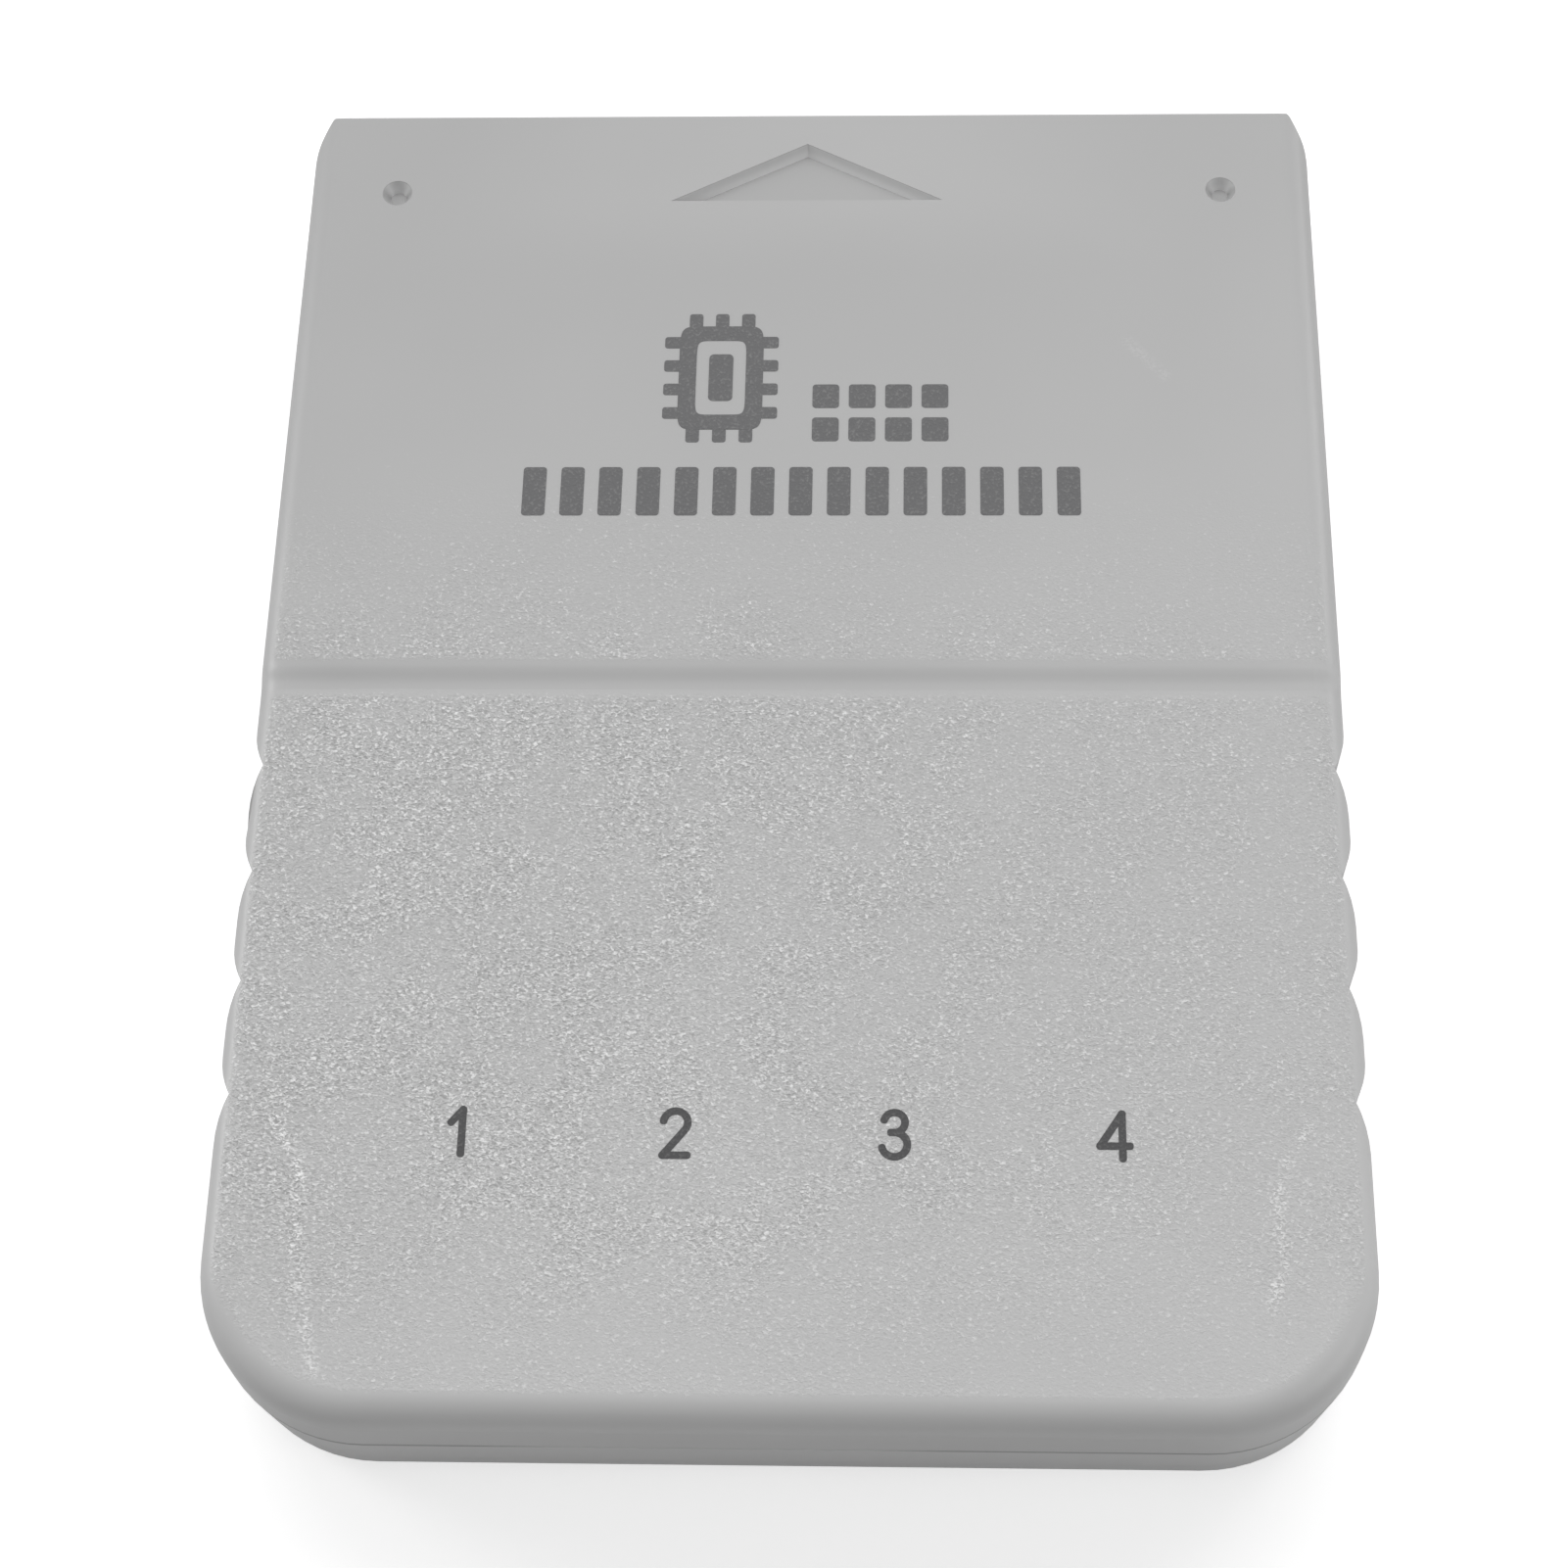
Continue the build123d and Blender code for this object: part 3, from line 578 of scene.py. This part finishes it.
def stroke(path, half_width, corner, level):
    """One stroke of ink: a flat four-cornered section carried along a path in plan.

    The path is lengthened by half_width at both ends. The section keeps its half-width, and within
    corner of an end it narrows by a quarter circle: half_width - corner + sqrt(corner^2 - (corner - s)^2).
    """
    path = np.asarray(path, float)
    lead = path[0] - path[1]
    tail = path[-1] - path[-2]
    path = np.vstack((
        path[0] + lead / np.hypot(*lead) * half_width,
        path[1:-1],
        path[-1] + tail / np.hypot(*tail) * half_width,
    ))
    run = np.concatenate(([0.0], np.cumsum(np.hypot(*np.diff(path, axis=0).T))))
    end = corner * (1 - np.cos(np.linspace(0, np.pi / 2, CORNER_STEPS)))
    middle = np.linspace(corner, run[-1] - corner, max(2, int(run[-1] / INK_STEP)))
    s = np.concatenate((end, middle[1:-1], run[-1] - end[::-1]))
    centre = np.stack([np.interp(s, run, path[:, axis]) for axis in (0, 1)], axis=-1)
    tangent = np.gradient(centre, s, axis=0)
    tangent /= np.linalg.norm(tangent, axis=1, keepdims=True)
    side = np.stack((-tangent[:, 1], tangent[:, 0]), axis=-1)
    short = np.clip(corner - np.minimum(s, run[-1] - s), 0, corner)
    reach = half_width - corner + np.sqrt(corner**2 - short**2)
    return flat_section(centre, side * reach[:, None], level), False


def ink_piece(name, layers, finish):
    """Joins layers of strokes into one mesh: quads between neighbouring rings, and caps on open ends.

    Each layer lies a hair above the one before, so that strokes can cross.
    """
    points = []
    faces = []
    start = 0
    for depth, layer in enumerate(layers):
        for rings, closed in layer:
            count, around = rings.shape[:2]
            index = start + np.arange(count * around).reshape(count, around)
            beside = np.roll(index, -1, axis=1)
            ahead = np.roll(index, -1, axis=0)
            sides = np.stack((index, beside, np.roll(beside, -1, axis=0), ahead), axis=-1)
            if closed:
                faces.append(sides.reshape(-1, 4))
            else:
                faces += [sides[:-1].reshape(-1, 4), index[:1, ::-1], index[-1:]]
            points.append((rings.reshape(-1, 3) + (0, 0, depth * INK_LAYER)) * MM)
            start += count * around
    mesh = bpy.data.meshes.new(name)
    mesh.from_pydata(np.concatenate(points).tolist(), [], np.concatenate(faces).tolist())
    piece = bpy.data.objects.new(name, mesh)
    bpy.context.scene.collection.objects.link(piece)
    mesh.materials.append(finish)
    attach(piece, "root")


def block(x, y, width, height, level, corner):
    """A solid upright block of ink with rounded corners, centred at x, y."""
    rise = (height - width) / 2
    return stroke([(x, y - rise), (x, y + rise)], width / 2, corner, level)


def spread(count, pitch):
    """Offsets of like things one pitch apart, evenly about the middle."""
    return [(index - (count - 1) / 2) * pitch for index in range(count)]


def pad_ink(name, colour, worn):
    """Matt ink film, thinner where the grain under it stands up."""
    material, shader, place = start_finish(name, {"Specular IOR Level": INK_SPECULAR})
    grain = cloud(place, GRAIN_SIZE, INK_DETAIL)
    thin = ease(grain, *INK_THIN_RANGE)
    relief = place.node("Bump", (), {"Strength": INK_BUMP, "Distance": GRAIN_DEPTH * MM, "Height": grain})
    colour = blend(thin * INK_THIN_SHARE, colour, worn)
    feed(shader, {"Base Color": colour, "Roughness": INK_ROUGHNESS - INK_POLISH * thin, "Normal": relief})
    return material


print_ink = pad_ink("print_ink", INK_GREY, INK_WORN)

CHIP_X = -3.41
CHIP_Y = 15.2
CHIP_W = 3.5
CHIP_H = 5.1
CHIP_LINE = 0.72
CHIP_PIN_L = 0.62
CHIP_PIN_W = 0.56
CHIP_PIN_CORNER = 0.12
CHIP_SIDE_PINS = 4
CHIP_END_PINS = 3
CHIP_SIDE_PITCHES = 4.4
CHIP_END_PITCHES = 3.2
CHIP_CORE_W = 1.0
CHIP_CORE_H = 2.3
CHIP_CORE_CORNER = 0.2
SQUARENESS = 9.0
CHIP_SAMPLES = 96


def chip_frame():
    """Frame of the sign: a flat section between two superellipses, |x/a|^n + |y/b|^n = 1, one line apart."""
    turn = np.linspace(0, 2 * np.pi, CHIP_SAMPLES, endpoint=False)
    wave = np.stack((np.cos(turn), np.sin(turn)), axis=-1)
    unit = np.sign(wave) * np.abs(wave) ** (2 / SQUARENESS)
    outer = np.array([CHIP_W, CHIP_H]) / 2 * unit
    inner = outer - CHIP_LINE * unit
    middle = (outer + inner) / 2 + (CHIP_X, CHIP_Y)
    return flat_section(middle, (inner - outer) / 2, NECK_TOP), True


def chip_pins():
    """Short strokes that stand out from the frame, evenly along its sides and its ends."""
    half_line = CHIP_PIN_W / 2
    pins = []
    for side in (-1, 1):
        near_x = CHIP_X + side * (CHIP_W / 2 - half_line)
        far_x = near_x + side * CHIP_PIN_L
        near_y = CHIP_Y + side * (CHIP_H / 2 - half_line)
        far_y = near_y + side * CHIP_PIN_L
        rows = [CHIP_Y + offset for offset in spread(CHIP_SIDE_PINS, CHIP_H / CHIP_SIDE_PITCHES)]
        columns = [CHIP_X + offset for offset in spread(CHIP_END_PINS, CHIP_W / CHIP_END_PITCHES)]
        ends = [[(near_x, y), (far_x, y)] for y in rows] + [[(x, near_y), (x, far_y)] for x in columns]
        pins += [stroke(path, half_line, CHIP_PIN_CORNER, NECK_TOP) for path in ends]
    return pins


chip_core = block(CHIP_X, CHIP_Y, CHIP_CORE_W, CHIP_CORE_H, NECK_TOP, CHIP_CORE_CORNER)
ink_piece("print_chip_sign", [chip_pins(), [chip_frame(), chip_core]], print_ink)

CELL_X = 3.21
CELL_Y = 13.46
CELL_W = 1.1
CELL_H = 1.15
CELL_PITCH_X = 1.5
CELL_PITCH_Y = 1.62
CELL_COLUMNS = 4
CELL_ROWS = 2
BLOCK_CORNER = 0.15

cells = [
    block(CELL_X + across, CELL_Y + along, CELL_W, CELL_H, NECK_TOP, BLOCK_CORNER)
    for across in spread(CELL_COLUMNS, CELL_PITCH_X)
    for along in spread(CELL_ROWS, CELL_PITCH_Y)
]
ink_piece("print_memory_cells", [cells], print_ink)

BAR_Y = 9.68
BAR_W = 22.7
BAR_H = 2.3
BAR_BLOCKS = 15
BAR_BLOCK_W = 0.95

bar_pitch = (BAR_W - BAR_BLOCK_W) / (BAR_BLOCKS - 1)
bar = [
    block(across, BAR_Y, BAR_BLOCK_W, BAR_H, NECK_TOP, BLOCK_CORNER)
    for across in spread(BAR_BLOCKS, bar_pitch)
]
ink_piece("print_block_bar", [bar], print_ink)

# Numerals: plain figures 1 to 4 that number the card's four pages, each over its lamp.
# They are the same ink, printed smaller and denser on the grip.

NUMERAL_PITCH = 8.08
NUMERAL_SHIFT = -0.1
NUMERAL_BASE = -18.93
NUMERAL_H = 2.01
NUMERAL_HALF_LINE = 0.142
NUMERAL_CORNER = 0.12
NUMERAL_INK = srgb(76, 76, 77)
NUMERAL_WORN = srgb(104, 104, 104)
ARC_SAMPLES = 40

FOOT = NUMERAL_HALF_LINE
CROWN = NUMERAL_H - NUMERAL_HALF_LINE


def arc(x, y, radius, start, end):
    """Points of a circular arc about x, y, from one angle to another in degrees."""
    turn = np.radians(np.linspace(start, end, ARC_SAMPLES))
    return np.stack((x + radius * np.cos(turn), y + radius * np.sin(turn)), axis=-1)


def line(*points):
    """A straight run through these points."""
    return np.array(points, float)


ONE_STEM_X = 0.17
ONE_FLAG_X = -0.25
ONE_FLAG_DROP = 0.5
TWO_R = 0.45
TWO_ARC = (172, -40)
THREE_UPPER_R = 0.39
THREE_LOWER_R = (CROWN - FOOT) / 2 - THREE_UPPER_R
THREE_WAIST = CROWN - 2 * THREE_UPPER_R
THREE_ARM = -0.12
THREE_UPPER_ARC = (165, -90)
THREE_LOWER_ARC = (90, -165)
FOUR_STEM_X = 0.28
FOUR_REACH = 0.54
FOUR_BAR = 0.62

three_upper = arc(0, CROWN - THREE_UPPER_R, THREE_UPPER_R, *THREE_UPPER_ARC)
three_lower = arc(0, FOOT + THREE_LOWER_R, THREE_LOWER_R, *THREE_LOWER_ARC)
three_arm = line((THREE_ARM, THREE_WAIST))
numeral_paths = [
    [
        line((ONE_STEM_X, FOOT), (ONE_STEM_X, CROWN)),
        line((ONE_STEM_X, CROWN), (ONE_FLAG_X, CROWN - ONE_FLAG_DROP)),
    ],
    [
        np.vstack((arc(0, CROWN - TWO_R, TWO_R, *TWO_ARC), line((-TWO_R, FOOT)))),
        line((-TWO_R, FOOT), (TWO_R, FOOT)),
    ],
    [
        np.vstack((three_upper, three_arm)),
        np.vstack((three_arm, three_lower)),
    ],
    [
        line((FOUR_STEM_X, CROWN), (-FOUR_REACH, FOUR_BAR)),
        line((-FOUR_REACH, FOUR_BAR), (FOUR_REACH, FOUR_BAR)),
        line((FOUR_STEM_X, FOOT), (FOUR_STEM_X, CROWN)),
    ],
]

numeral_ink = pad_ink("numeral_ink", NUMERAL_INK, NUMERAL_WORN)
numeral_offsets = spread(len(numeral_paths), NUMERAL_PITCH)
for page, (paths, offset) in enumerate(zip(numeral_paths, numeral_offsets), start=1):
    place = (offset + NUMERAL_SHIFT, NUMERAL_BASE)
    figure = [[stroke(path + place, NUMERAL_HALF_LINE, NUMERAL_CORNER, GRIP_TOP)] for path in paths]
    ink_piece(f"numeral_{page}", figure, numeral_ink)

# Floor: a plain pale sheet under the card, which takes its soft shadow.
# The camera sees it fade to white away from the card, and it and reflections see the air as white.

FLOOR_HALF = 1.5
FLOOR_Z = -0.00002
FLOOR_PALE = srgb(226, 226, 226)
FLOOR_ROUGHNESS = 0.9
FLOOR_GLOW = (0.56, 0.56, 0.56, 1.0)
FLOOR_FADE = (90.0, 450.0)
NO_GLOW = (0.0, 0.0, 0.0, 1.0)
AIR_LIGHT = (0.35, 0.35, 0.35, 1.0)
AIR_WHITE = (1.0, 1.0, 1.0, 1.0)


def ray_kinds(start, *names):
    """1 for the rays of these kinds, and 0 for the others."""
    path = start.node("LightPath").socket.node
    kinds = [Wire(start.tree, path.outputs[f"Is {name} Ray"]) for name in names]
    return sum(kinds[1:], kinds[0])


floor_mesh = bpy.data.meshes.new("floor")
reach = np.array([-FLOOR_HALF, FLOOR_HALF])
floor_x, floor_y = np.meshgrid(reach, reach)
floor_points = np.stack((floor_x, floor_y, np.full((2, 2), FLOOR_Z)), axis=-1).reshape(-1, 3)
floor_mesh.from_pydata(floor_points.tolist(), [], [(0, 1, 3, 2)])
floor = bpy.data.objects.new("floor", floor_mesh)
bpy.context.scene.collection.objects.link(floor)
floor_constants = {"Base Color": FLOOR_PALE, "Roughness": FLOOR_ROUGHNESS, "Emission Strength": 1.0}
floor_finish, floor_shader, floor_place = start_finish("floor_pale", floor_constants)
away = floor_place.node("VectorMath", {"operation": "LENGTH"}, {0: floor_place}, output=1)
glow = blend(ease(away, *FLOOR_FADE), FLOOR_GLOW, AIR_WHITE)
feed(floor_shader, {"Emission Color": blend(ray_kinds(floor_place, "Camera"), NO_GLOW, glow)})
floor_mesh.materials.append(floor_finish)

world = bpy.data.worlds.new("studio")
world.use_nodes = True
bpy.context.scene.world = world
air = world.node_tree.nodes["Background"]
seen = ray_kinds(Wire(world.node_tree), "Camera", "Glossy", "Transmission")
feed(air, {"Color": blend(seen, AIR_LIGHT, AIR_WHITE)})

# Studio lights: a wide soft box high behind the nose, a smaller one low on each side, and a weak one
# close to the near right corner. The top and the rounded sides come out alike, while faces turned to
# the viewer fall into soft shade.

BACK_PLACE = (0.05, 0.54, 0.69)
BACK_SIZE = (1.2, 0.4)
BACK_WATTS = 4.7
SIDE_SIZE = (0.24, 0.14)
LEFT_PLACE = (-0.36, 0.14, 0.15)
LEFT_WATTS = 0.5
RIGHT_PLACE = (0.36, 0.24, 0.15)
RIGHT_WATTS = 0.27
CORNER_PLACE = (0.2, -0.1, 0.08)
CORNER_SIZE = (0.12, 0.1)
CORNER_WATTS = 0.052


def soft_box(name, place, size, watts):
    """A flat panel of light of this size, turned to face the card."""
    panel = bpy.data.lights.new(name, "AREA")
    panel.shape = "RECTANGLE"
    panel.size, panel.size_y = size
    panel.energy = watts
    box = bpy.data.objects.new(name, panel)
    box.location = place
    box.rotation_euler = (-box.location).to_track_quat("-Z", "Z").to_euler()
    bpy.context.scene.collection.objects.link(box)


soft_box("soft_box_back", BACK_PLACE, BACK_SIZE, BACK_WATTS)
soft_box("soft_box_left", LEFT_PLACE, SIDE_SIZE, LEFT_WATTS)
soft_box("soft_box_right", RIGHT_PLACE, SIDE_SIZE, RIGHT_WATTS)
soft_box("soft_box_corner", CORNER_PLACE, CORNER_SIZE, CORNER_WATTS)

# Camera: over the grip end, a little to the right, looking down at the card as it lies.
# It is near, so the grip looks wider than the nose; place and angles are fitted to the photograph.

IMAGE_SIDE = 1601
FOCAL_PIXELS = 3253.755
SENSOR = 36.0
NEAREST_SEEN = 5.0
CAMERA_PLACE = (4.41367, -58.89116, 118.0505)
LOOK_DOWN = 63.33457
TURN = 4.98564
ROLL = -4.28385

camera = bpy.data.cameras.new("camera")
camera.sensor_width = SENSOR
camera.lens = FOCAL_PIXELS / IMAGE_SIDE * SENSOR
camera.clip_start = NEAREST_SEEN * MM
viewer = bpy.data.objects.new("camera", camera)
viewer.matrix_world = (
    Matrix.Translation([value * MM for value in CAMERA_PLACE])
    @ Matrix.Rotation(math.radians(TURN), 4, "Z")
    @ Matrix.Rotation(math.radians(90 - LOOK_DOWN), 4, "X")
    @ Matrix.Rotation(math.radians(ROLL), 4, "Z")
)
bpy.context.scene.collection.objects.link(viewer)
bpy.context.scene.camera = viewer
bpy.context.scene.view_settings.view_transform = "Standard"
